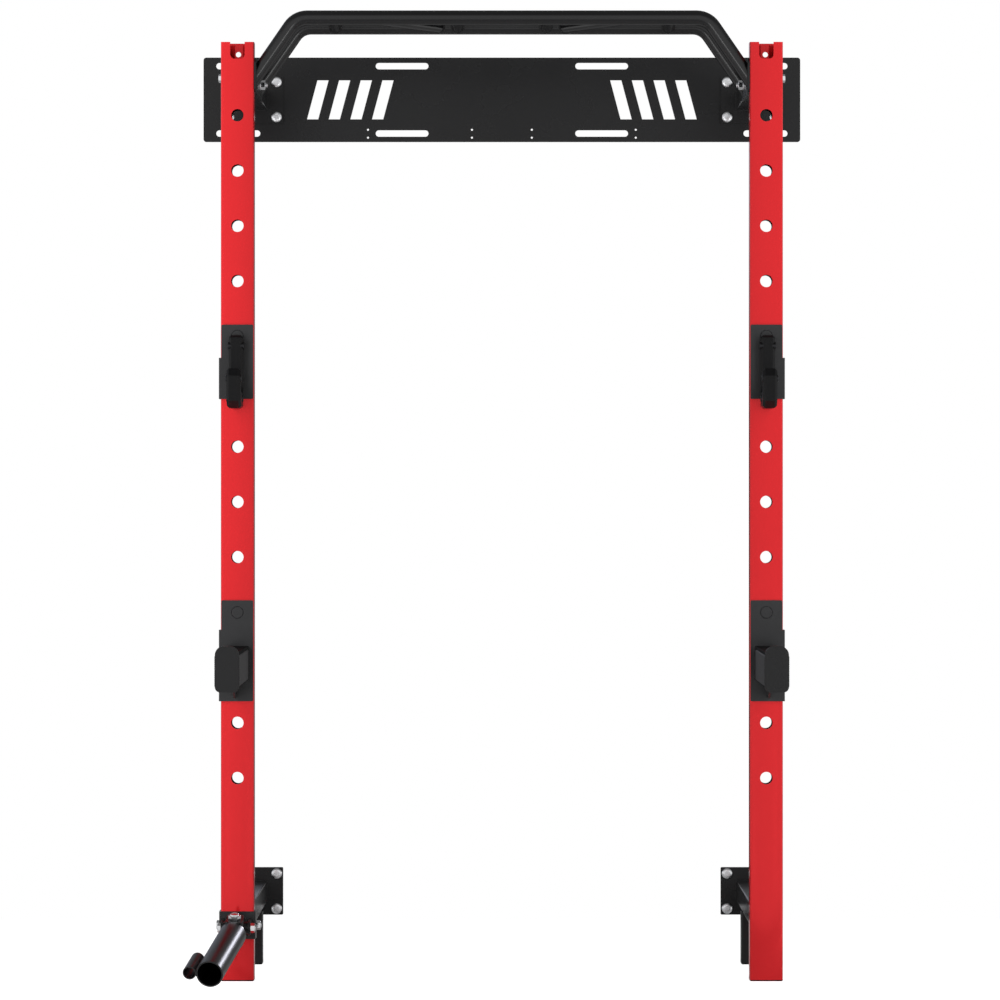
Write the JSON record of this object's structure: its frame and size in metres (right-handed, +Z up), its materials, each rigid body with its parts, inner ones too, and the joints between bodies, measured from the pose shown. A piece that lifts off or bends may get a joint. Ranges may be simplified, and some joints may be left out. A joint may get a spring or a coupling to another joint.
{
  "type": "wall-mounted squat rack",
  "caption": "Wall-mounted squat rack: two drilled uprights braced to a slotted header, multi-grip pull-up bar, pinned J-cups and spotter arms, and a landmine socket.",
  "frame": {"origin": "on the floor, under the middle of the rack's box", "axes": "+Z up, +Y towards the wall, +X to the right for someone who faces the rack"},
  "size_m": [1.435, 1.183, 2.1995],
  "materials": {
    "red_powder_coat": "gloss red powder coat on steel tube",
    "black_powder_coat": "semi-gloss black powder coat on steel",
    "gloss_black_paint": "gloss black paint on steel tube",
    "chrome_plate": "bright plated fasteners",
    "black_oxide": "black fasteners and pins",
    "black_plastic": "moulded black polymer"
  },
  "bodies": {
    "frame": {"left_upright": "red_powder_coat", "right_upright": "red_powder_coat", "upright_foot_caps": "black_plastic", "rear_leg_caps": "black_plastic", "left_rear_leg": "black_powder_coat", "right_rear_leg": "black_powder_coat", "header_plate": "black_powder_coat", "wall_bolts": "chrome_plate", "arm_flange_bolts": "chrome_plate", "arm_flange_nuts": "chrome_plate", "front_pull_up_bar": "black_powder_coat", "rear_pull_up_bar": "black_powder_coat", "neutral_grips": "black_powder_coat", "angled_grips": "black_powder_coat", "left_pull_up_flange": "black_powder_coat", "right_pull_up_flange": "black_powder_coat", "pull_up_fasteners": "chrome_plate", "landmine_bracket": "black_powder_coat", "landmine_clamp_bolt": "chrome_plate", "left_upper_wall_plate": "black_powder_coat", "left_upper_arm": "black_powder_coat", "left_upper_arm_flange": "black_powder_coat", "left_lower_wall_plate": "black_powder_coat", "left_lower_arm": "black_powder_coat", "left_lower_arm_flange": "black_powder_coat", "right_upper_wall_plate": "black_powder_coat", "right_upper_arm": "black_powder_coat", "right_upper_arm_flange": "black_powder_coat", "right_lower_wall_plate": "black_powder_coat", "right_lower_arm": "black_powder_coat", "right_lower_arm_flange": "black_powder_coat"},
    "left_j_cup": {"left_j_cup_plate": "black_powder_coat", "left_j_cup_pin": "black_oxide", "left_j_cup_hook": "black_powder_coat", "left_j_cup_liner": "black_plastic", "left_j_cup_bolts": "black_oxide"},
    "right_j_cup": {"right_j_cup_plate": "black_powder_coat", "right_j_cup_pin": "black_oxide", "right_j_cup_hook": "black_powder_coat", "right_j_cup_liner": "black_plastic", "right_j_cup_bolts": "black_oxide"},
    "left_spotter": {"left_spotter_plate": "black_powder_coat", "left_spotter_pin": "black_oxide", "left_spotter_arm": "black_powder_coat", "left_spotter_end_plate": "black_powder_coat", "left_spotter_pad": "black_plastic", "left_spotter_gusset": "black_powder_coat"},
    "right_spotter": {"right_spotter_plate": "black_powder_coat", "right_spotter_pin": "black_oxide", "right_spotter_arm": "black_powder_coat", "right_spotter_end_plate": "black_powder_coat", "right_spotter_pad": "black_plastic", "right_spotter_gusset": "black_powder_coat"},
    "landmine_swivel": {"landmine_swivel": "black_powder_coat", "landmine_pitch_bolt": "chrome_plate", "landmine_yaw_bolt": "chrome_plate"},
    "landmine_sleeve": {"landmine_fork": "gloss_black_paint", "landmine_sleeve": "gloss_black_paint", "landmine_side_tube": "gloss_black_paint"}
  },
  "joints": [
    {"name": "left_j_cup_twist", "type": "hinge", "parent": "frame", "child": "left_j_cup", "pos_m": [-0.5985, -0.1415, 1.46], "axis": [0, 1, 0], "range_deg": [0, 90]},
    {"name": "left_spotter_twist", "type": "hinge", "parent": "frame", "child": "left_spotter", "pos_m": [-0.5985, -0.1415, 0.835], "axis": [0, 1, 0], "range_deg": [0, 90]},
    {"name": "right_j_cup_twist", "type": "hinge", "parent": "frame", "child": "right_j_cup", "pos_m": [0.5985, -0.1415, 1.46], "axis": [0, -1, 0], "range_deg": [0, 90]},
    {"name": "right_spotter_twist", "type": "hinge", "parent": "frame", "child": "right_spotter", "pos_m": [0.5985, -0.1415, 0.835], "axis": [0, -1, 0], "range_deg": [0, 90]},
    {"name": "landmine_pitch", "type": "hinge", "parent": "frame", "child": "landmine_swivel", "pos_m": [-0.5999, -0.1955, 0.1255], "axis": [-1, 0, 0], "range_deg": [0, 80]},
    {"name": "landmine_yaw", "type": "hinge", "parent": "landmine_swivel", "child": "landmine_sleeve", "pos_m": [-0.5999, -0.22735, 0.12035], "axis": [0, -0.2622, 0.965], "range_deg": [-51.2, 68.8]}
  ]
}
